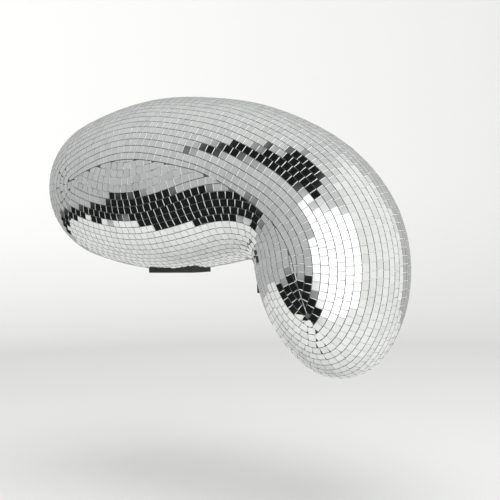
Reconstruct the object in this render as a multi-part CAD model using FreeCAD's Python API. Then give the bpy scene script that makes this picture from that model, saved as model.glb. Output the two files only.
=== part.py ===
"""A soft, slumped mirror ball: a round bent body that lies over the edge of a block.

Frame, in millimetres: the origin is the centre of the seat pad's underside, z = 0 is the
top of the block that it lies on, and y = 0 is the body's plane of symmetry.  -Y is the
front.  The long lobe lies along X and the short lobe hangs down past the block's side.

The body is the space swept by a ball that rolls along a bent spine while its radius
changes.  Everything else (shells, bed, tiles, straps, ballast) is laid off from that skin.
"""
import itertools
import math
import os
import random

import FreeCAD
import Part

Vector = FreeCAD.Vector

# ---- Spine: a straight, a slow droop, a tight bend and a hanging straight ----
SPINE_START_X = -108.0
SPINE_START_Z = 133.5
LYING_LENGTH = 194.0
DROOP_RADIUS = 230.0
DROOP_ANGLE = math.radians(27.0)
BEND_RADIUS = 116.0
BEND_ANGLE = math.radians(56.0)
HANGING_LENGTH = 90.0

# ---- Radius of the body along the spine ----
LOBE_RADIUS = 131.5
WAIST_RADIUS = 102.0
HANGING_RADIUS = 106.0
WAIST_FROM = 84.0
WAIST_AT = 330.0
HANGING_FROM = 420.0
LYING_TAPER = 19.0
LYING_TAPER_LENGTH = 127.0
HANGING_TAPER = 32.0
HANGING_TAPER_LENGTH = 90.0

# ---- Layers, as depths below the mirror faces ----
TILE_THICKNESS = 2.0
BED_THICKNESS = 1.5
SHELL_THICKNESS = 5.0
STRAP_THICKNESS = 2.5
STRAP_PASTE = 2.0
BED_DEPTH = TILE_THICKNESS
SHELL_DEPTH = BED_DEPTH + BED_THICKNESS
INSIDE_DEPTH = SHELL_DEPTH + SHELL_THICKNESS
STRAP_DEPTH = INSIDE_DEPTH + STRAP_PASTE

# ---- Tiles ----
TILE_SIZE = 10.0
TILE_WIDTH = 9.7
TILE_PITCH = 11.05
ROW_PITCH = 10.4
OUTER_ROWS = 17
MOST_ROWS = 24
SEAM_FROM = 28.0
SEAM_TO = 460.0
SEAM_GAP = 0.9
SEAM_FADE = 30.0
SEAM_OVERRUN = 0.55 * TILE_SIZE
SEAM_REACH = 2.5 * TILE_SIZE
SEAM_PROBE = 2.0
SEAM_PROBE_ANGLE = 0.02
SMALLEST_TILE_AREA = 16.0
SHORTEST_TILE_EDGE = 0.4
TILE_CLEARANCE = 0.25
SAME_SIDE = math.cos(math.radians(60.0))
STEADY_NORMAL = math.cos(math.radians(15.0))
SEARCH_CELL = 15.0
TILE_TILT = math.radians(1.1)
TILE_GAP_TO_BED = 0.02
SEED = 21

# ---- Inner parts ----
STRAP_WIDTH = 30.0
FORMER_THICKNESS = 6.0
FORMER_BORE_RADIUS = 62.0
FORMER_STATIONS = {"former_lying": 236.0, "former_hanging": 428.0}
BALLAST_TOP_Z = 54.0
BALLAST_FROM_X = -175.0
BALLAST_TO_X = -8.0

# ---- Pads ----
SEAT_PAD_LENGTH = 84.0
SEAT_PAD_WIDTH = 44.0
SEAT_PAD_TOP_Z = 16.0
HEEL_PAD_HEIGHT = 22.0
HEEL_PAD_WIDTH = 36.0
HEEL_PAD_CENTRE_Z = -18.0
HEEL_PAD_REACH = 30.0
BLOCK_SIDE_X = 145.0
PAD_CLEARANCE = 1.0

# ---- Fineness of the spline skin and of the row layout ----
STATION_STEP = 11.0
CAP_STATIONS = 12
RIB_STEP = 4.0
CAP_RIBS = 44
SETTLE_STEPS = 4
SETTLE_PROBE = 0.5
SETTLE_LONGEST = 12.0
SETTLE_DONE = 0.01
FLATTEST_MISS = 0.05
MARCH_STEPS_PER_HALF_ROW = 2

DROOP_END = LYING_LENGTH + DROOP_RADIUS * DROOP_ANGLE
BEND_END = DROOP_END + BEND_RADIUS * BEND_ANGLE
SPINE_LENGTH = BEND_END + HANGING_LENGTH
FRONT = -1.0
BACK = 1.0


# ---------------------------------------------------------------- body law
def spine(s):
    """Point x, z on the spine at arc length s, and its downward slope."""
    if s <= LYING_LENGTH:
        return SPINE_START_X + s, SPINE_START_Z, 0.0
    x = SPINE_START_X + LYING_LENGTH
    z = SPINE_START_Z
    slope = (min(s, DROOP_END) - LYING_LENGTH) / DROOP_RADIUS
    x += DROOP_RADIUS * math.sin(slope)
    z -= DROOP_RADIUS * (1.0 - math.cos(slope))
    if s <= DROOP_END:
        return x, z, slope
    start = slope
    slope = start + (min(s, BEND_END) - DROOP_END) / BEND_RADIUS
    x += BEND_RADIUS * (math.sin(slope) - math.sin(start))
    z -= BEND_RADIUS * (math.cos(start) - math.cos(slope))
    if s <= BEND_END:
        return x, z, slope
    rest = s - BEND_END
    return x + rest * math.cos(slope), z - rest * math.sin(slope), slope


def ease(s, start, end):
    """A smooth 0 to 1 step between two stations, and its rate."""
    span = end - start
    part = (s - start) / span
    if part <= 0.0:
        return 0.0, 0.0
    if part >= 1.0:
        return 1.0, 0.0
    return (1.0 - math.cos(math.pi * part)) / 2.0, math.pi * math.sin(math.pi * part) / (2.0 * span)


def body_radius(s):
    """Ball radius at s and its rate of change."""
    thin, thin_rate = ease(s, WAIST_FROM, WAIST_AT)
    swell, swell_rate = ease(s, WAIST_AT, HANGING_FROM)
    radius = LOBE_RADIUS + (WAIST_RADIUS - LOBE_RADIUS) * thin + (HANGING_RADIUS - WAIST_RADIUS) * swell
    rate = (WAIST_RADIUS - LOBE_RADIUS) * thin_rate + (HANGING_RADIUS - WAIST_RADIUS) * swell_rate
    left = max(0.0, 1.0 - s / LYING_TAPER_LENGTH)
    right = max(0.0, 1.0 - (SPINE_LENGTH - s) / HANGING_TAPER_LENGTH)
    radius -= LYING_TAPER * left ** 2 + HANGING_TAPER * right ** 2
    rate += 2.0 * LYING_TAPER * left / LYING_TAPER_LENGTH
    rate -= 2.0 * HANGING_TAPER * right / HANGING_TAPER_LENGTH
    return radius, rate


def axes_at(s):
    """Spine point, direction along the spine, and direction square to it (up, or outward)."""
    x, z, slope = spine(s)
    along = Vector(math.cos(slope), 0, -math.sin(slope))
    outward = Vector(math.sin(slope), 0, math.cos(slope))
    return Vector(x, 0, z), along, outward


def skin_normal(s, lean, theta):
    """Unit normal: lean is its part along the spine, theta turns from outward to the front."""
    _, along, outward = axes_at(s)
    girth = math.sqrt(max(0.0, 1.0 - lean * lean))
    return along * lean + outward * (girth * math.cos(theta)) + Vector(0, -girth * math.sin(theta), 0)


def skin_point(s, lean, theta):
    """Point of the mirror skin in the direction that skin_normal gives."""
    centre, _, _ = axes_at(s)
    return centre + skin_normal(s, lean, theta) * body_radius(s)[0]


def body_station(s):
    """On the swept part the normal leans by the rate at which the radius shrinks."""
    return s, -body_radius(s)[1]


def stations():
    """All stations (s, lean) from the lying tip to the hanging tip."""
    first = math.asin(-body_station(0.0)[1])
    last = math.asin(body_station(SPINE_LENGTH)[1])
    quarter = math.pi / 2.0
    result = []
    for i in range(CAP_STATIONS):
        angle = quarter + (first - quarter) * i / CAP_STATIONS
        result.append((0.0, -math.sin(angle)))
    count = int(round(SPINE_LENGTH / STATION_STEP))
    for i in range(count + 1):
        result.append(body_station(SPINE_LENGTH * i / count))
    for i in range(1, CAP_STATIONS + 1):
        angle = last + (quarter - last) * i / CAP_STATIONS
        result.append((SPINE_LENGTH, math.sin(angle)))
    return result


# ---------------------------------------------------------------- spline skins and solids
def ring_at(station, depth):
    """Centre and radius of the skin's round section, square to the spine."""
    s, lean = station
    centre, along, outward = axes_at(s)
    radius = body_radius(s)[0] - depth
    girth = math.sqrt(max(0.0, 1.0 - lean * lean))
    return centre + along * (radius * lean), outward * (radius * girth), radius * girth


def half_skin(depth, side):
    """The front or back half of the skin as one spline face: exact half rounds, splined lengthways."""
    rings = [ring_at(station, depth) for station in stations()]
    length = [0.0]
    for one, two in zip(rings, rings[1:]):
        length.append(length[-1] + math.hypot((two[0] - one[0]).Length, two[2] - one[2]))
    corners = ((1, 0), (1, 1), (0, 1), (-1, 1), (-1, 0))
    rows = []
    for out, sideways in corners:
        points = [ring[0] + ring[1] * out + Vector(0, side * sideways * ring[2], 0) for ring in rings]
        curve = Part.BSplineCurve()
        curve.interpolate(Points=points, Parameters=length)
        rows.append(curve)
    poles = [[row.getPoles()[i] for row in rows] for i in range(len(rows[0].getPoles()))]
    mitre = math.sqrt(0.5)
    weights = [[1.0, mitre, 1.0, mitre, 1.0] for _ in poles]
    surface = Part.BSplineSurface()
    surface.buildFromPolesMultsKnots(
        poles, rows[0].getMultiplicities(), [3, 2, 3], rows[0].getKnots(), [0.0, 1.0, 2.0],
        False, False, 3, 2, weights)
    return surface.toShape()


def outward_solid(shell):
    solid = Part.makeSolid(shell)
    if solid.Volume < 0.0:
        solid.reverse()
    return solid


def rims(skin):
    """The two edges of a half skin that lie in the plane of symmetry: above, then below."""
    edges = [edge for edge in skin.Edges if edge.Length > 1.0 and edge.BoundBox.YLength < 0.01]
    return sorted(edges, key=lambda edge: -edge.Length)


def rim_faces(outer, inner):
    """Flat faces in the plane of symmetry between the rims of two half skins."""
    pairs = zip(rims(outer), rims(inner))
    return [Part.makeRuledSurface(one, two) for one, two in pairs]


def whole_body(depth):
    shell = Part.makeShell([half_skin(depth, FRONT), half_skin(depth, BACK)])
    shell.sewShape()
    return outward_solid(shell)


def box(low, high):
    return Part.makeBox(high[0] - low[0], high[1] - low[1], high[2] - low[2], Vector(*low))


def seat_box(spare=0.0):
    half_length = SEAT_PAD_LENGTH / 2.0 + spare
    half_width = SEAT_PAD_WIDTH / 2.0 + spare
    return ((-half_length, -half_width, 0.0), (half_length, half_width, SEAT_PAD_TOP_Z))


def heel_box(spare=0.0):
    half_height = HEEL_PAD_HEIGHT / 2.0 + spare
    half_width = HEEL_PAD_WIDTH / 2.0 + spare
    return ((BLOCK_SIDE_X, -half_width, HEEL_PAD_CENTRE_Z - half_height),
            (BLOCK_SIDE_X + HEEL_PAD_REACH, half_width, HEEL_PAD_CENTRE_Z + half_height))


def layer(depth, thickness, side):
    """One half of a hollow layer of even thickness."""
    outer = half_skin(depth, side)
    inner = half_skin(depth + thickness, side)
    shell = Part.makeShell([outer, inner] + rim_faces(outer, inner))
    shell.sewShape()
    return outward_solid(shell)


def tile_bed(side):
    """White adhesive bed that the tiles lie in, left out under the two pads."""
    bed = layer(BED_DEPTH, BED_THICKNESS, side)
    for low, high in (seat_box(PAD_CLEARANCE), heel_box(PAD_CLEARANCE)):
        bed = bed.cut(box(low, high))
    return bed


def joint_straps():
    """Flat straps laid inside along the joint of the shells, one above and one below."""
    outer = half_skin(STRAP_DEPTH, FRONT)
    inner = half_skin(STRAP_DEPTH + STRAP_THICKNESS, FRONT)
    straps = []
    for face in rim_faces(outer, inner):
        face.translate(Vector(0, -STRAP_WIDTH / 2.0, 0))
        straps.append(face.extrude(Vector(0, STRAP_WIDTH, 0)))
    return Part.makeCompound(straps)


def former(s, straps):
    """Flat ring inside the body, square to the spine, that keeps the section round."""
    centre, along, _ = axes_at(s)
    base = centre - along * (FORMER_THICKNESS / 2.0)
    disc = Part.makeCylinder(LOBE_RADIUS, FORMER_THICKNESS, base, along)
    bore = Part.makeCylinder(FORMER_BORE_RADIUS, FORMER_THICKNESS, base, along)
    return disc.common(whole_body(INSIDE_DEPTH)).cut(bore).cut(straps)


def ballast(straps):
    """Iron casting bedded in the belly of the lying lobe, so that the weight stays over the seat."""
    limit = box((BALLAST_FROM_X, -LOBE_RADIUS, 0.0), (BALLAST_TO_X, LOBE_RADIUS, BALLAST_TOP_Z))
    return limit.common(whole_body(INSIDE_DEPTH)).cut(straps)


def pad(limits):
    """Rubber block, flat outside and hollowed to the shell on its inner side."""
    low, high = limits
    block = box(low, high)
    return block.cut(whole_body(SHELL_DEPTH))


# ---------------------------------------------------------------- rows of tiles
def nearest_station(point, s):
    """Spine station whose ball the point is nearest to, and the direction from its centre."""
    for _ in range(SETTLE_STEPS):
        error = miss(point, s)
        slope = (miss(point, s + SETTLE_PROBE) - error) / SETTLE_PROBE
        if abs(slope) < FLATTEST_MISS:
            slope = -FLATTEST_MISS
        step = max(-SETTLE_LONGEST, min(SETTLE_LONGEST, -error / slope))
        s = max(0.0, min(SPINE_LENGTH, s + step))
        if abs(step) < SETTLE_DONE:
            break
    centre, _, _ = axes_at(s)
    away = point - centre
    return s, away * (1.0 / away.Length), away.Length


def miss(point, s):
    """How far along the spine the point still lies from the ball at s; zero at its own station."""
    centre, along, _ = axes_at(s)
    away = point - centre
    return away.dot(along) + body_radius(s)[1] * away.Length


def settle(point, s):
    """Put a point on the mirror skin: the point, its station and its normal."""
    s, normal, _ = nearest_station(point, s)
    centre, _, _ = axes_at(s)
    return centre + normal * body_radius(s)[0], s, normal


def on_seam(s):
    """The two families meet only between the poles; beyond them each row runs round the end."""
    return SEAM_FROM < s < SEAM_TO


def seam_angle(s):
    """Where the rows laid from above stop and the rows laid from below take over."""
    radius, rate = body_radius(s)
    girth = radius * math.sqrt(1.0 - rate * rate)
    by_rows = OUTER_ROWS * ROW_PITCH / girth
    square = math.pi / 2.0
    fade = ease(s, BEND_END - SEAM_FADE, SEAM_TO)[0]
    return by_rows + (square - by_rows) * fade


def angle_round(s, normal):
    _, _, outward = axes_at(s)
    return math.atan2(-normal.y, normal.dot(outward))


def rib_starts():
    """Start points round the outline at y = 0: above, round the hanging tip, below, round the other."""
    starts = []
    count = int(round(SPINE_LENGTH / RIB_STEP))
    body = [SPINE_LENGTH * i / count for i in range(count + 1)]
    for s in body:
        starts.append((s, skin_normal(*body_station(s), 0.0), True))
    starts += cap_starts(SPINE_LENGTH, math.asin(body_station(SPINE_LENGTH)[1]), 1.0)
    for s in reversed(body):
        starts.append((s, skin_normal(*body_station(s), math.pi), False))
    starts += cap_starts(0.0, math.asin(-body_station(0.0)[1]), -1.0)
    return starts


def cap_starts(s, first, direction):
    """Starts round one rounded end; an even count keeps them off the very tip."""
    _, along, outward = axes_at(s)
    starts = []
    for i in range(1, CAP_RIBS):
        turn = first + (math.pi - 2.0 * first) * i / CAP_RIBS
        if direction < 0.0:
            turn = math.pi - turn
        normal = outward * math.cos(turn) + along * (direction * math.sin(turn))
        starts.append((s, normal, turn < math.pi / 2.0))
    return starts


def march_rib(s, normal, above):
    """Walk straight over the skin from the outline towards the front, noting each half row."""
    centre, _, _ = axes_at(s)
    point = centre + normal * body_radius(s)[0]
    heading = Vector(0, FRONT, 0)
    step = ROW_PITCH / 2.0 / MARCH_STEPS_PER_HALF_ROW
    marks = []
    for half_row in range(2 * MOST_ROWS):
        for _ in range(MARCH_STEPS_PER_HALF_ROW):
            point, s, normal = settle(point + heading * step, s)
            heading = heading - normal * heading.dot(normal)
            heading.normalize()
        if above and half_row >= 2 * OUTER_ROWS:
            break
        past = angle_round(s, normal) - seam_angle(s)
        if not above:
            past = -past
        spare = SEAM_OVERRUN / body_radius(s)[0]
        if on_seam(s) and past > spare:
            break
        marks.append((point, s, normal))
    return marks


def row_runs(ribs, row):
    """Stretches of one row: lists of points on its centre line, and whether it closes on itself."""
    index = 2 * row
    marks = [rib[index] + (above,) if len(rib) > index else None for rib, above in ribs]
    if None not in marks:
        return [(marks + [marks[0]], True)]
    first_gap = marks.index(None)
    runs = [[]]
    for i in range(len(marks)):
        mark = marks[(first_gap + i) % len(marks)]
        if mark is None:
            runs.append([])
            continue
        if runs[-1] and mark[3] != runs[-1][-1][3] and on_seam(mark[1]):
            runs.append([])
        runs[-1].append(mark)
    return [(run, False) for run in runs if len(run) > 1]


def spaced(run, closed):
    """Even places along a run: point, direction, and the mark of the rib before it."""
    lengths = [0.0]
    for one, two in zip(run, run[1:]):
        lengths.append(lengths[-1] + (two[0] - one[0]).Length)
    total = lengths[-1]
    count = int(round(total / TILE_PITCH)) if closed else int(total / TILE_PITCH) + 1
    pitch = total / count if closed else TILE_PITCH
    start = pitch / 2.0 if closed else (total - pitch * (count - 1)) / 2.0
    places = []
    leg = 0
    for i in range(count):
        at = start + i * pitch
        while leg < len(lengths) - 2 and lengths[leg + 1] < at:
            leg += 1
        one, two = run[leg], run[leg + 1]
        part = (at - lengths[leg]) / max(1e-9, lengths[leg + 1] - lengths[leg])
        point = one[0] + (two[0] - one[0]) * part
        places.append((point, two[0] - one[0], one))
    return places


def clip(corners, origin, inward):
    """Keep the part of a flat polygon on the inward side of a line (2-D)."""
    kept = []
    for i, one in enumerate(corners):
        two = corners[(i + 1) % len(corners)]
        side_one = (one[0] - origin[0]) * inward[0] + (one[1] - origin[1]) * inward[1]
        side_two = (two[0] - origin[0]) * inward[0] + (two[1] - origin[1]) * inward[1]
        if side_one >= 0.0:
            kept.append(one)
        if side_one * side_two < 0.0:
            part = side_one / (side_one - side_two)
            kept.append((one[0] + (two[0] - one[0]) * part, one[1] + (two[1] - one[1]) * part))
    return kept


def tidy_polygon(corners):
    """Drop corners that nearly coincide, and polygons too small to glue."""
    kept = []
    for corner in corners:
        if not kept or math.dist(corner, kept[-1]) > SHORTEST_TILE_EDGE:
            kept.append(corner)
    if len(kept) > 2 and math.dist(kept[0], kept[-1]) <= SHORTEST_TILE_EDGE:
        kept.pop()
    if len(kept) < 3:
        return []
    area = 0.0
    for i, one in enumerate(kept):
        two = kept[(i + 1) % len(kept)]
        area += (one[0] * two[1] - two[0] * one[1]) / 2.0
    return kept if abs(area) > SMALLEST_TILE_AREA else []


def seam_cut(corners, point, across, along, s, above):
    """Cut a tile back from the seam between the two families of rows."""
    if not on_seam(s):
        return corners
    near = seam_point(s)
    ahead = seam_point(min(SPINE_LENGTH, s + SEAM_PROBE)) - seam_point(max(0.0, s - SEAM_PROBE))
    if (near - point).Length > SEAM_REACH:
        return corners
    line = (ahead.dot(along), ahead.dot(across))
    length = math.hypot(*line)
    inward = (-line[1] / length, line[0] / length)
    below = skin_point(*body_station(s), seam_angle(s) + SEAM_PROBE_ANGLE) - near
    if (inward[0] * below.dot(along) + inward[1] * below.dot(across) > 0.0) == above:
        inward = (-inward[0], -inward[1])
    offset = near - point
    origin = (offset.dot(along) + inward[0] * SEAM_GAP / 2.0, offset.dot(across) + inward[1] * SEAM_GAP / 2.0)
    return clip(corners, origin, inward)


def seam_point(s):
    """Point of the skin on the seam at station s."""
    return skin_point(*body_station(s), seam_angle(s))


def in_pad(point):
    """Whether a tile here would foul one of the two pads."""
    margin = PAD_CLEARANCE + TILE_SIZE / 2.0
    for low, high in (seat_box(margin), heel_box(margin)):
        inside = low[0] < point.x < high[0] and abs(point.y) < high[1] and low[2] < point.z < high[2]
        if inside:
            return True
    return False


def tile_frame(point, direction, mark):
    """Where a tile lies: point on the skin, station, normal, and its two directions.

    In the tight inner bend a point between two ribs can settle on the wrong side of the
    crease, so there the tile takes the place of the rib's own mark.
    """
    point, s, normal = settle(point, mark[1])
    if normal.dot(mark[2]) < STEADY_NORMAL:
        point, s, normal = mark[:3]
    along = direction - normal * direction.dot(normal)
    along.normalize()
    return point, s, normal, along, normal.cross(along)


def cell_of(point):
    return tuple(int(part // SEARCH_CELL) for part in point)


def laid_near(laid, point):
    """Tiles laid so far whose middles are in the cells round a point."""
    i, j, k = cell_of(point)
    for cell in itertools.product((i - 1, i, i + 1), (j - 1, j, j + 1), (k - 1, k, k + 1)):
        for tile in laid.get(cell, ()):
            yield tile


def in_space(tile):
    """Corners of a tile's mirror face in space."""
    point, _, _, along, across, corners = tile
    return [point + along * u + across * v for u, v in corners]


def edges_of(corners):
    """Edges of a flat convex polygon that runs anticlockwise: a point on each and its outward direction."""
    edges = []
    for one, two in zip(corners, corners[1:] + corners[:1]):
        length = math.dist(one, two)
        edges.append((one, ((two[1] - one[1]) / length, (one[0] - two[0]) / length)))
    return edges


def beyond(edge, corner):
    """How far a corner lies outside an edge."""
    origin, outward = edge
    return (corner[0] - origin[0]) * outward[0] + (corner[1] - origin[1]) * outward[1]


def apart(edges, corners):
    return any(min(beyond(edge, corner) for corner in corners) > 0.0 for edge in edges)


def cut_clear(corners, other):
    """Cut a tile back from one laid before it, as a tiler nips a tile to fit."""
    edges = edges_of(other)
    if apart(edges, corners) or apart(edges_of(corners), other):
        return corners
    middle = [sum(corner[i] for corner in corners) / len(corners) for i in (0, 1)]
    origin, outward = max(edges, key=lambda edge: beyond(edge, middle))
    origin = [origin[i] + outward[i] * TILE_CLEARANCE for i in (0, 1)]
    return tidy_polygon(clip(corners, origin, outward))


def fit_among(tile, laid):
    """Outline of a tile once it clears every tile laid before it."""
    point, _, normal, along, across, corners = tile
    for other in laid_near(laid, point):
        if not corners:
            break
        if normal.dot(other[2]) > SAME_SIDE:
            flat = [((corner - point).dot(along), (corner - point).dot(across)) for corner in in_space(other)]
            corners = cut_clear(corners, flat)
    return corners


def lay_row(ribs, row, laid):
    """Tiles of one row on the front half; each is a frame and a flat outline."""
    tiles = []
    half = TILE_SIZE / 2.0
    width = TILE_WIDTH / 2.0
    for run, closed in row_runs(ribs, row):
        for point, direction, mark in spaced(run, closed):
            point, s, normal, along, across = tile_frame(point, direction, mark)
            if in_pad(point):
                continue
            corners = [(-half, -width), (half, -width), (half, width), (-half, width)]
            if not closed:
                corners = seam_cut(corners, point, across, along, s, mark[3])
            corners = tidy_polygon(corners)
            corners = fit_among((point, s, normal, along, across, corners), laid)
            if corners:
                tile = (point, s, normal, along, across, corners)
                tiles.append(tile)
                laid.setdefault(cell_of(point), []).append(tile)
    return tiles


def tile_solid(tile, side, chance):
    """One flat mirror tile, very slightly out of true, clear of the bed."""
    point, s, normal, along, across, corners = tile
    lean_one = chance.uniform(-TILE_TILT, TILE_TILT)
    lean_two = chance.uniform(-TILE_TILT, TILE_TILT)
    face_normal = normal + along * lean_one + across * lean_two
    face_normal.normalize()
    first = along - face_normal * along.dot(face_normal)
    first.normalize()
    second = face_normal.cross(first)
    outline = in_space((point, s, normal, first, second, corners))
    inner = face_normal * -TILE_THICKNESS
    lowest = 0.0
    for corner in outline + [point]:
        near_s, _, distance = nearest_station(corner + inner, s)
        lowest = min(lowest, distance - body_radius(near_s)[0] + BED_DEPTH)
    lift = normal * (TILE_GAP_TO_BED - lowest)
    points = [corner + lift for corner in outline]
    if side == BACK:
        points = [Vector(p.x, -p.y, p.z) for p in points]
        inner = Vector(inner.x, -inner.y, inner.z)
    face = Part.Face(Part.makePolygon(points + [points[0]]))
    solid = face.extrude(inner)
    if solid.Volume < 0.0:
        solid.reverse()
    return solid


# ---------------------------------------------------------------- output
def write(name, shape):
    shape.exportStep(os.path.join("parts", name + ".step"))
    limits = shape.BoundBox
    print("%-20s solids %4d  volume %10.0f  x %.1f..%.1f  y %.1f..%.1f  z %.1f..%.1f  valid %s" % (
        name, len(shape.Solids), shape.Volume, limits.XMin, limits.XMax,
        limits.YMin, limits.YMax, limits.ZMin, limits.ZMax, shape.isValid()))


def write_tile_rows():
    """One node per row and side; the short rows that fill the lying lobe's flank share one node."""
    ribs = [(march_rib(s, normal, above), above) for s, normal, above in rib_starts()]
    laid = {}
    rows = [lay_row(ribs, row, laid) for row in range(MOST_ROWS)]
    for side, word in ((FRONT, "front"), (BACK, "back")):
        chance = random.Random(SEED + (side == BACK))
        for row in range(OUTER_ROWS):
            solids = [tile_solid(tile, side, chance) for tile in rows[row]]
            write("tiles_%s_%02d" % (word, row + 1), Part.makeCompound(solids))
        flank = [tile for row in rows[OUTER_ROWS:] for tile in row]
        solids = [tile_solid(tile, side, chance) for tile in flank]
        write("tiles_%s_flank" % word, Part.makeCompound(solids))
    print("tiles", 2 * sum(len(row) for row in rows))


def main():
    os.makedirs("parts", exist_ok=True)
    straps = joint_straps()
    write("joint_straps", straps)
    for side, word in ((FRONT, "front"), (BACK, "back")):
        write("shell_" + word, layer(SHELL_DEPTH, SHELL_THICKNESS, side))
        write("tile_bed_" + word, tile_bed(side))
    for name, s in FORMER_STATIONS.items():
        write(name, former(s, straps))
    write("ballast", ballast(straps))
    write("seat_pad", pad(seat_box()))
    write("heel_pad", pad(heel_box()))
    write_tile_rows()


main()
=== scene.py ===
# %% [markdown]
# # A slumped mirror ball, finished in Blender
#
# The CAD model gives every part its size and its place.  This notebook gives the parts their
# looks.  A mirror has almost no colour of its own: what it shows is the room.  So the work is
# in three things: crisp flat glass tiles, the dark and white lines between them, and a soft
# studio with bright and dark places for the tiles to show.
#
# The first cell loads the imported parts.  Nothing in them is moved.

import math
import random

import bmesh
import bpy
from mathutils import Matrix, Vector
from mathutils.bvhtree import BVHTree
from mathutils.kdtree import KDTree


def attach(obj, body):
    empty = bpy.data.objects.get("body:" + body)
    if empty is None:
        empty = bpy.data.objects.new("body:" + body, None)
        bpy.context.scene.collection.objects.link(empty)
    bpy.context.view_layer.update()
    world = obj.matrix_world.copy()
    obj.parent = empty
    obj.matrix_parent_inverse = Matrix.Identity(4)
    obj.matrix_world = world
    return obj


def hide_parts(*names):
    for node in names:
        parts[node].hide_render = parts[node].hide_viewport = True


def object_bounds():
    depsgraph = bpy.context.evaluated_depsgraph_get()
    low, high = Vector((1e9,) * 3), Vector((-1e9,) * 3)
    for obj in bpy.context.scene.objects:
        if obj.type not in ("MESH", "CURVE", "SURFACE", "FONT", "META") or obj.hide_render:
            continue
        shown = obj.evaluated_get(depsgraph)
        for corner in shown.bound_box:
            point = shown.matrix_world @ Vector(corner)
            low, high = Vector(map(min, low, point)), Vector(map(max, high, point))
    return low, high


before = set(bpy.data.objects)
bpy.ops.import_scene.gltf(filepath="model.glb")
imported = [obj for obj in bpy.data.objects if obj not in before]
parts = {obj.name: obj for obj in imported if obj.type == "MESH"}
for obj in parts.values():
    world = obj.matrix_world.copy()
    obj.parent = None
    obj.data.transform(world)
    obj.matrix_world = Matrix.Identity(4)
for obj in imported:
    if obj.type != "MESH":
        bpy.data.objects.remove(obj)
cad_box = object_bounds()
MM = 0.001
print(len(parts), "parts, lowest and highest corner", cad_box)

# %% [markdown]
# ## Writing finishes as sums
#
# A finish is a web of nodes, and webs are hard to read in a script.  `Wire` wraps one output of
# a node, so that `1 - rim * 0.4` adds its own Math nodes.  `Finish.node` makes every other kind
# of node: its settings come first, then what goes into its sockets.

# %% Shader maths
class Wire:
    """One number that runs from a node, with the arithmetic signs."""

    def __init__(self, finish, socket):
        self.finish = finish
        self.socket = socket

    def maths(self, operation, *others):
        return self.finish.maths(operation, self, *others)

    def __add__(self, other):
        return self.finish.maths("ADD", self, other)

    def __sub__(self, other):
        return self.finish.maths("SUBTRACT", self, other)

    def __rsub__(self, other):
        return self.finish.maths("SUBTRACT", other, self)

    def __mul__(self, other):
        return self.finish.maths("MULTIPLY", self, other)

    __radd__ = __add__
    __rmul__ = __mul__


class Finish:
    """A node tree with short ways to add to it."""

    def __init__(self, owner):
        owner.use_nodes = True
        self.owner = owner
        self.tree = owner.node_tree
        self.tree.nodes.clear()

    def node(self, kind, settings=None, sockets=None, out=0):
        """A node of any kind: its settings first, then the values or wires of its sockets."""
        made = self.tree.nodes.new(kind)
        for name, value in (settings or {}).items():
            setattr(made, name, value)
        for name, value in (sockets or {}).items():
            if isinstance(value, Wire):
                self.tree.links.new(value.socket, made.inputs[name])
            else:
                made.inputs[name].default_value = value
        return Wire(self, made.outputs[out])

    def maths(self, operation, *values):
        return self.node("ShaderNodeMath", {"operation": operation}, dict(enumerate(values)))

    def mix(self, share, first, second):
        """Colour `second` laid over colour `first` where `share` is 1."""
        return self.node("ShaderNodeMix", {"data_type": "RGBA"}, {0: share, 6: first, 7: second}, out=2)

    def place(self):
        return self.node("ShaderNodeTexCoord", out="Object")

    def grain(self, scale, detail=3.0, rough=0.55):
        """Soft noise about 0.5, `scale` bumps to the metre."""
        return self.node("ShaderNodeTexNoise", sockets={
            "Vector": self.place(), "Scale": scale, "Detail": detail, "Roughness": rough})

    def step(self, value, low, high):
        """0 below `low`, 1 above `high`, smooth between."""
        return self.node("ShaderNodeMapRange", {"interpolation_type": "SMOOTHSTEP"}, {
            "Value": value, "From Min": low, "From Max": high})

    def bumps(self, height, depth):
        """Small relief, `depth` metres from the low places to the high ones."""
        return self.node("ShaderNodeBump", sockets={"Height": height, "Distance": depth, "Strength": 1.0})

    def surface(self, shader, output="ShaderNodeOutputMaterial"):
        end = self.tree.nodes.new(output)
        self.tree.links.new(shader.socket, end.inputs["Surface"])
        return self.owner

    def coat(self, **sockets):
        """The ordinary surface shader; names use _ for a space."""
        named = {name.replace("_", " "): value for name, value in sockets.items()}
        return self.surface(self.node("ShaderNodeBsdfPrincipled", sockets=named))


def new_finish(name):
    return Finish(bpy.data.materials.new(name))


print("shader maths ready")

# %% [markdown]
# ## The camera
#
# The camera stands low and to the right, level with the top of the block that the ball lies
# over, and looks at the front of the long lobe.  It leans by about a degree.  Its own three
# directions are worked out from yaw, pitch and roll, because that keeps the lean exact.

# %% Camera
CAMERA_PLACE = Vector((0.7235, -1.0297, 0.0371))
LENS, SENSOR = 59.28, 36.0
CAMERA_YAW, CAMERA_PITCH, CAMERA_ROLL = (math.radians(a) for a in (30.19, 0.242, -1.135))

camera = bpy.data.objects.new("camera", bpy.data.cameras.new("camera"))
bpy.context.scene.collection.objects.link(camera)
camera.data.sensor_width = SENSOR
camera.data.lens = LENS
camera.location = CAMERA_PLACE
turn = (Matrix.Rotation(CAMERA_YAW, 3, "Z")
        @ Matrix.Rotation(math.radians(90) - CAMERA_PITCH, 3, "X")
        @ Matrix.Rotation(CAMERA_ROLL, 3, "Z"))
camera.rotation_euler = turn.to_euler()
bpy.context.scene.camera = camera
bpy.context.scene.view_settings.view_transform = "Standard"
print("camera looks along", turn @ Vector((0, 0, -1)))

# %% [markdown]
# ## Floor and backdrop
#
# A pale floor catches a soft shadow.  The near floor is seen by the mirrors too, so their
# lower rows go white.  Past it a wide bowl curves up behind everything, like a studio's paper
# roll.  The mirrors don't see the bowl: they see the studio that a later cell lights.

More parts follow.
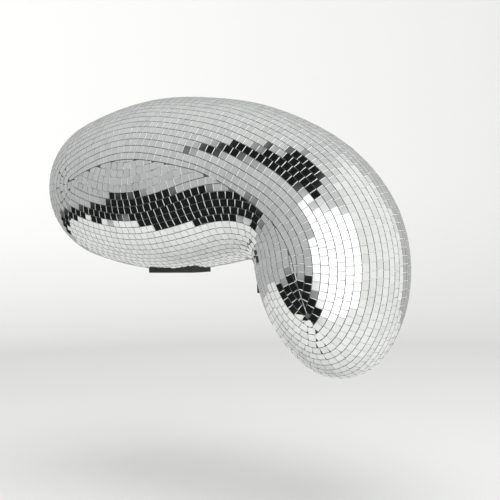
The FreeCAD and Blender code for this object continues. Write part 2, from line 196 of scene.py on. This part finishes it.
# %% Floor and backdrop
FLOOR_DROP = 0.33
TABLE_LEFT, TABLE_RIGHT = -1.1, 1.1
TABLE_FRONT, TABLE_BACK = -0.36, 1.0
BOWL_FLAT = 1.9
BOWL_CURVE = 0.7
BOWL_HEIGHT = 2.6
BOWL_BELOW_FLOOR = 0.0005

paint = new_finish("studio_floor")
paint.coat(Base_Color=(0.86, 0.86, 0.85, 1), Roughness=0.7)
centre = (cad_box[0] + cad_box[1]) / 2


def stage_piece(name, mesh_maker):
    mesh = bpy.data.meshes.new(name)
    bm = bmesh.new()
    mesh_maker(bm)
    bm.to_mesh(mesh)
    bm.free()
    mesh.materials.append(paint.owner)
    piece = bpy.data.objects.new(name, mesh)
    bpy.context.scene.collection.objects.link(piece)
    return piece


def table_top(bm):
    bmesh.ops.create_grid(bm, x_segments=1, y_segments=1, size=0.5)
    bmesh.ops.scale(bm, verts=bm.verts, vec=(TABLE_RIGHT - TABLE_LEFT, TABLE_BACK - TABLE_FRONT, 1))
    middle = ((TABLE_LEFT + TABLE_RIGHT) / 2, (TABLE_FRONT + TABLE_BACK) / 2, -FLOOR_DROP)
    bmesh.ops.translate(bm, verts=bm.verts, vec=middle)


def bowl(bm):
    hub = bm.verts.new((0, 0, 0))
    corner = bm.verts.new((BOWL_FLAT, 0, 0))
    bm.edges.new((hub, corner))
    curve = bmesh.ops.spin(bm, geom=[corner], cent=(BOWL_FLAT, 0, BOWL_CURVE), axis=(0, -1, 0),
                           angle=math.radians(90), steps=12, use_merge=False)
    top = [v for v in curve["geom_last"] if isinstance(v, bmesh.types.BMVert)][0]
    rim = bm.verts.new((BOWL_FLAT + BOWL_CURVE, 0, BOWL_HEIGHT))
    bm.edges.new((top, rim))
    bmesh.ops.spin(bm, geom=bm.verts[:] + bm.edges[:], cent=(0, 0, 0), axis=(0, 0, 1),
                   angle=math.radians(360), steps=96, use_merge=True)
    bmesh.ops.remove_doubles(bm, verts=bm.verts, dist=0.0001)
    bmesh.ops.recalc_face_normals(bm, faces=bm.faces)
    bmesh.ops.translate(bm, verts=bm.verts, vec=(centre.x, centre.y, -FLOOR_DROP - BOWL_BELOW_FLOOR))
    for face in bm.faces:
        face.smooth = True


stage_piece("table_top", table_top)
backdrop = stage_piece("backdrop", bowl)
backdrop.visible_glossy = False
backdrop.visible_diffuse = False
backdrop.visible_shadow = False
backdrop.visible_transmission = False
print("floor at", -FLOOR_DROP, "backdrop faces", len(backdrop.data.polygons))

# %% [markdown]
# ## The studio that the mirrors show
#
# A flat mirror shows nothing but what stands around it, and an even room makes the whole ball
# look like grey plastic.  So the soft pale studio has a few large neutral areas: a pale floor,
# a broad soft window at the front right, a pale wall on the right, dark drapes low at the
# front, and a dark ceiling bay.  All are plain greys with soft edges, given by compass
# direction and height in degrees, with 0 at the front and + to the right.  The camera itself
# sees a plain pale world.

# %% Studio surroundings
world = bpy.data.worlds.new("studio")
bpy.context.scene.world = world
studio = Finish(world)
direction = studio.node("ShaderNodeTexCoord", out="Generated")
split = studio.node("ShaderNodeSeparateXYZ", sockets={"Vector": direction})
axis_x, axis_y, axis_z = (Wire(studio, s) for s in split.socket.node.outputs)
DEGREES = 180 / math.pi
compass = axis_x.maths("ARCTAN2", 0 - axis_y) * DEGREES
height = axis_z.maths("ARCSINE") * DEGREES


def panel(over, colour, sides, heights, edge=2.0, lean=0.0):
    """A soft-edged plain panel laid over the room, its sides leaning by `lean` degrees a degree."""
    across = compass + (height - sum(heights) / 2) * lean
    mask = studio.step(across, sides[0] - edge, sides[0] + edge)
    mask = mask * (1 - studio.step(across, sides[1] - edge, sides[1] + edge))
    mask = mask * studio.step(height, heights[0] - edge, heights[0] + edge)
    mask = mask * (1 - studio.step(height, heights[1] - edge, heights[1] + edge))
    return studio.mix(mask, over, (*colour, 1))


WHITE, PALE, DARK = (1.6, 1.6, 1.6), (0.92, 0.92, 0.91), (0.014, 0.014, 0.014)

rise = studio.step(height, -30, 80)
room = studio.mix(rise, (0.46, 0.46, 0.46, 1), (0.68, 0.68, 0.68, 1))
room = panel(room, PALE, (-180, 180), (-95, -32), 3.0)
room = panel(room, PALE, (65, 150), (-60, 60), 6.0)
room = panel(room, WHITE, (0, 65), (-55, 35), 3.0)
room = panel(room, DARK, (-5, 40), (35, 75), 4.0, -1.0)
room = panel(room, DARK, (-115, -40), (-32, -15), 2.0)
room = panel(room, DARK, (-50, -5), (-60, -10), 2.0)
sees_camera = studio.node("ShaderNodeLightPath", out="Is Camera Ray")
room = studio.mix(sees_camera, room, (0.86, 0.86, 0.85, 1))
studio.surface(studio.node("ShaderNodeBackground", sockets={"Color": room, "Strength": 1.0}),
               "ShaderNodeOutputWorld")

SOFT_BOX_SIZE, SOFT_BOX_POWER = 1.8, 26.0
soft_box = bpy.data.objects.new("soft_box", bpy.data.lights.new("soft_box", "AREA"))
soft_box.data.shape = "SQUARE"
soft_box.data.size = SOFT_BOX_SIZE
soft_box.data.energy = SOFT_BOX_POWER
soft_box.location = (centre.x + 0.5, -0.5, 1.9)
aim = Vector((centre.x, 0, 0)) - soft_box.location
soft_box.rotation_euler = aim.to_track_quat("-Z", "Y").to_euler()
soft_box.visible_glossy = False
bpy.context.scene.collection.objects.link(soft_box)
print("studio nodes", len(world.node_tree.nodes))

# %% [markdown]
# ## Adhesive between the tiles
#
# Real tiles are pressed into a coat of adhesive.  The CAD bed is an even layer under the tiles.
# A copy of it gets its outer skin pushed out a little, as adhesive squeezes up, and stays deep
# under the glass, so that the grooves between the rows read dark.  Its dark grey colour is
# painted shade: it stands in for the shade in those deep grooves, where the real adhesive is white.

# %% Adhesive
ADHESIVE_RISE = 0.3 * MM
OUTER_SKIN = 0.7 * MM
WELD = 0.002 * MM

groove_shade_adhesive = new_finish("adhesive_painted_groove_shade")
fine = groove_shade_adhesive.grain(1800.0, 4.0)
patchy = groove_shade_adhesive.grain(26.0, 3.0)
tone = groove_shade_adhesive.step(patchy, 0.35, 0.7)
# Painted shade: the dark grey colour stands in for the shade in the deep grooves between the rows.
colour = groove_shade_adhesive.mix(tone, (0.11, 0.11, 0.108, 1), (0.18, 0.18, 0.175, 1))
groove_shade_adhesive.coat(Base_Color=colour, Roughness=0.78 + fine * 0.15, Normal=groove_shade_adhesive.bumps(fine, 0.00012))


def merged_copy(node):
    """A mesh copy of a CAD part with its loose triangles joined."""
    bm = bmesh.new()
    bm.from_mesh(parts[node].data)
    bmesh.ops.remove_doubles(bm, verts=bm.verts, dist=WELD)
    return bm


def finished_piece(name, bm, finishes, node):
    """Turns a bmesh into a piece that stands for the CAD part `node`."""
    mesh = bpy.data.meshes.new(name)
    bm.to_mesh(mesh)
    bm.free()
    if "custom_normal" in mesh.attributes:
        mesh.attributes.remove(mesh.attributes["custom_normal"])
    for finish in finishes:
        mesh.materials.append(finish.owner)
    piece = bpy.data.objects.new(name, mesh)
    bpy.context.scene.collection.objects.link(piece)
    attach(piece, "root")
    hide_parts(node)
    return piece


def surface_of(*nodes):
    """The faces of some CAD parts, ready to measure distances to."""
    points, faces = [], []
    for node in nodes:
        mesh = parts[node].data
        first = len(points)
        points += [v.co.copy() for v in mesh.vertices]
        faces += [[first + i for i in p.vertices] for p in mesh.polygons]
    return BVHTree.FromPolygons(points, faces)


for side in ("front", "back"):
    shell = surface_of("shell_" + side)
    bm = merged_copy("tile_bed_" + side)
    bm.normal_update()
    for vert in bm.verts:
        if shell.find_nearest(vert.co)[3] > OUTER_SKIN:
            vert.co += vert.normal * ADHESIVE_RISE
    for face in bm.faces:
        face.smooth = True
    piece = finished_piece("adhesive_" + side, bm, [groove_shade_adhesive], "tile_bed_" + side)
    print(piece.name, len(piece.data.polygons), "faces")

# %% [markdown]
# ## Mirror tiles
#
# A mirror tile is a square of float glass, silvered on its back, scored and snapped to size.
# Its face is flat and bright; its cut sides are frosty, greenish glass with a worn arris.
# Every CAD row is copied, its triangles are joined back into flat faces, and the rim of each
# face gets a tiny chamfer with the bevel operator.  One number for each tile, kept as an
# attribute, lets the silvering differ a little from tile to tile.

# %% Mirror finishes
silver = new_finish("mirror_silver")
age = silver.node("ShaderNodeAttribute", {"attribute_name": "tile_age"}, out="Fac")
smudge = silver.step(silver.grain(55.0, 4.0), 0.52, 0.80)
colour = silver.mix(age, (0.90, 0.91, 0.90, 1), (0.80, 0.815, 0.81, 1))
silver.coat(Base_Color=colour, Metallic=1.0, Roughness=0.015 + smudge * 0.035)

edge_glass = new_finish("cut_glass_edge")
chips = edge_glass.grain(900.0, 3.0)
colour = edge_glass.mix(chips, (0.09, 0.12, 0.11, 1), (0.22, 0.26, 0.24, 1))
edge_glass.coat(Base_Color=colour, Roughness=0.30 + chips * 0.25,
                Normal=edge_glass.bumps(chips, 0.00008))
print("mirror finishes ready")

# %% Mirror tiles
ARRIS = 0.14 * MM
ONE_PLANE = math.radians(0.4)
dice = random.Random(7)
bed = surface_of("tile_bed_front", "tile_bed_back")


def tiles_of(bm):
    """The separate tiles in a row, each as a list of faces, in the order of the mesh."""
    left = set(bm.faces)
    for start in bm.faces:
        if start not in left:
            continue
        left.remove(start)
        tile, edge = [], [start]
        while edge:
            face = edge.pop()
            tile.append(face)
            for side in face.edges:
                for other in side.link_faces:
                    if other in left:
                        left.remove(other)
                        edge.append(other)
        yield tile


def top_face(tile):
    """The mirror face of a tile: the face that looks the same way as the bed behind it."""
    outward = bed.find_nearest(tile[0].calc_center_median())[1]
    return max(tile, key=lambda f: f.normal.dot(outward))


rows = sorted(name for name in parts if name.startswith("tiles_"))
count = 0
for row in rows:
    bm = merged_copy(row)
    bmesh.ops.dissolve_limit(bm, angle_limit=ONE_PLANE, verts=bm.verts, edges=bm.edges)
    age_layer = bm.faces.layers.float.new("tile_age")
    tops = []
    for tile in tiles_of(bm):
        share = dice.random() ** 2
        for face in tile:
            face[age_layer] = share
            face.smooth = False
            face.material_index = 1
        top = top_face(tile)
        top.material_index = 0
        tops.append(top)
    count += len(tops)
    rims = list(dict.fromkeys(edge for top in tops for edge in top.edges))
    bmesh.ops.bevel(bm, geom=rims, offset=ARRIS, segments=1, profile=0.5, affect="EDGES", material=1)
    name = row.replace("tiles_", "mirrors_")
    piece = finished_piece(name, bm, [silver, edge_glass], row)
print(count, "tiles in", len(rows), "rows; last row has", len(piece.data.polygons), "faces")

# %% [markdown]
# ## White backing between neighbours
#
# Mirror tiles come in strips on a white backing.  Between two tiles of one strip the backing
# shows close under the glass, so those gaps read white.  Between two strips there is only a
# deep narrow groove, so those gaps read dark.  That difference makes the long lines of the
# rows stand out.  Each side wall that faces the next tile of its row is copied and extruded
# across the gap, and then sunk a little below the glass.

# %% Backing
STRIP_GAP = 1.05 * MM
BACKING_SUNK = 0.45 * MM
NEXT_TILE = 12.6 * MM
UPRIGHT = 0.3
FACING = 0.80

paper = new_finish("white_backing")
fibre = paper.grain(2400.0, 3.0)
colour = paper.mix(fibre, (0.86, 0.86, 0.85, 1), (0.94, 0.94, 0.93, 1))
paper.coat(Base_Color=colour, Roughness=0.7 + fibre * 0.2, Normal=paper.bumps(fibre, 0.00006))


def facing_wall(tile, top, towards):
    """The side wall of a tile that faces its neighbour, or None."""
    walls = [f for f in tile if abs(f.normal.dot(top.normal)) < UPRIGHT]
    best = max(walls, key=lambda f: f.normal.dot(towards))
    return best if best.normal.dot(towards) > FACING else None


def strip_backing(row, target):
    """Adds the backing blocks of one row to the bmesh `target`."""
    bm = merged_copy(row)
    bmesh.ops.dissolve_limit(bm, angle_limit=ONE_PLANE, verts=bm.verts, edges=bm.edges)
    tiles = [(tile, top_face(tile)) for tile in tiles_of(bm)]
    middles = [top.calc_center_median() for tile, top in tiles]
    near = KDTree(len(middles))
    for index, middle in enumerate(middles):
        near.insert(middle, index)
    near.balance()
    walls = {}
    for index, (tile, top) in enumerate(tiles):
        for middle, other, _ in near.find_range(middles[index], NEXT_TILE):
            if other > index:
                wall = facing_wall(tile, top, (middle - middles[index]).normalized())
                if wall is not None:
                    walls[wall] = top.normal.copy()
    bmesh.ops.delete(bm, geom=[f for f in bm.faces if f not in walls], context="FACES")
    for wall, up in walls.items():
        bmesh.ops.translate(bm, verts=wall.verts, vec=up * -BACKING_SUNK)
    for end in bmesh.ops.extrude_discrete_faces(bm, faces=list(walls))["faces"]:
        bmesh.ops.translate(bm, verts=end.verts, vec=end.normal * STRIP_GAP)
    blocks = bpy.data.meshes.new("blocks")
    bm.to_mesh(blocks)
    bm.free()
    target.from_mesh(blocks)
    bpy.data.meshes.remove(blocks)


for side in ("front", "back"):
    target = bmesh.new()
    for row in rows:
        if side in row:
            strip_backing(row, target)
    bmesh.ops.recalc_face_normals(target, faces=target.faces)
    piece = finished_piece("backing_" + side, target, [paper], "tile_bed_" + side)
    print(piece.name, len(piece.data.polygons), "faces")

# %% [markdown]
# ## Hidden parts and pads
#
# The shells, straps, rings and ballast are inside, and are seen only when the model is taken
# apart.  They keep their CAD meshes and get finishes of their own.

# %% Inner parts
resin = new_finish("glass_fibre_resin")
weave = resin.node("ShaderNodeTexWave", {"wave_type": "BANDS", "bands_direction": "DIAGONAL"},
                   {"Vector": resin.place(), "Scale": 220.0, "Distortion": 6.0, "Detail": 2.0}, out="Fac")
cloud = resin.grain(14.0)
colour = resin.mix(cloud, (0.72, 0.70, 0.62, 1), (0.86, 0.85, 0.80, 1))
resin.coat(Base_Color=colour, Roughness=0.32 + weave * 0.2, Normal=resin.bumps(weave, 0.0002))

amber = new_finish("bare_resin_strap")
strands = amber.node("ShaderNodeTexWave", {"wave_type": "BANDS", "bands_direction": "Y"},
                     {"Vector": amber.place(), "Scale": 380.0, "Distortion": 2.0, "Detail": 2.0}, out="Fac")
colour = amber.mix(strands, (0.42, 0.38, 0.22, 1), (0.66, 0.62, 0.46, 1))
amber.coat(Base_Color=colour, Roughness=0.28 + strands * 0.2, Normal=amber.bumps(strands, 0.00015))

ply = new_finish("plywood")
rings = ply.node("ShaderNodeTexWave", {"wave_type": "BANDS", "bands_direction": "Z"},
                 {"Vector": ply.place(), "Scale": 28.0, "Distortion": 9.0, "Detail": 3.0,
                  "Detail Scale": 0.6}, out="Fac")
pores = ply.grain(700.0, 2.0)
colour = ply.mix(rings, (0.56, 0.38, 0.20, 1), (0.74, 0.56, 0.34, 1))
ply.coat(Base_Color=colour, Roughness=0.55 + pores * 0.2, Normal=ply.bumps(pores + rings * 0.6, 0.0002))

cast = new_finish("sand_cast_iron")
grit = cast.grain(240.0, 6.0, 0.7)
speck = cast.step(cast.grain(90.0, 2.0), 0.55, 0.62)
colour = cast.mix(speck, (0.085, 0.083, 0.08, 1), (0.15, 0.145, 0.14, 1))
cast.coat(Base_Color=colour, Metallic=0.8, Roughness=0.6 + grit * 0.2, Normal=cast.bumps(grit, 0.0006))


def refinish(finish, *nodes):
    for node in nodes:
        mesh = parts[node].data
        mesh.materials.clear()
        mesh.materials.append(finish.owner)


refinish(resin, "shell_front", "shell_back")
refinish(amber, "joint_straps")
refinish(ply, "former_lying", "former_hanging")
refinish(cast, "ballast")
print("inner parts finished")

# %% [markdown]
# The two pads are moulded rubber with a fine leather-like skin.  Their near-black colour is painted
# shadow: it stands in for the dark contact shadow under the belly.  Their CAD blocks have knife
# edges, so each is copied and its edges are rounded with the bevel operator.

# %% Pads
PAD_ROUND = 0.6 * MM
PAD_PLANE, PAD_EDGE = math.radians(2.0), math.radians(40.0)

rubber = new_finish("rubber_painted_contact_shadow")
skin = rubber.node("ShaderNodeTexVoronoi", {"feature": "F1"},
                   {"Vector": rubber.place(), "Scale": 900.0}, out="Distance")
dust = rubber.step(rubber.grain(60.0), 0.45, 0.75)
# Painted shadow: the near-black colour stands in for the dark contact shadow under the belly; the dust
# flecks are real.
colour = rubber.mix(dust, (0.028, 0.028, 0.027, 1), (0.055, 0.055, 0.053, 1))
rubber.coat(Base_Color=colour, Roughness=0.62 + skin * 0.2, Normal=rubber.bumps(skin, 0.0001))

for node in ("seat_pad", "heel_pad"):
    bm = merged_copy(node)
    bmesh.ops.dissolve_limit(bm, angle_limit=PAD_PLANE, verts=bm.verts, edges=bm.edges)
    for face in bm.faces:
        face.smooth = False
    sharp = [e for e in bm.edges if len(e.link_faces) == 2 and e.calc_face_angle() > PAD_EDGE]
    bmesh.ops.bevel(bm, geom=sharp, offset=PAD_ROUND, segments=3, profile=0.5, affect="EDGES",
                    material=-1, clamp_overlap=True)
    piece = finished_piece(node.replace("pad", "rubber"), bm, [rubber], node)
    print(piece.name, len(piece.data.polygons), "faces")
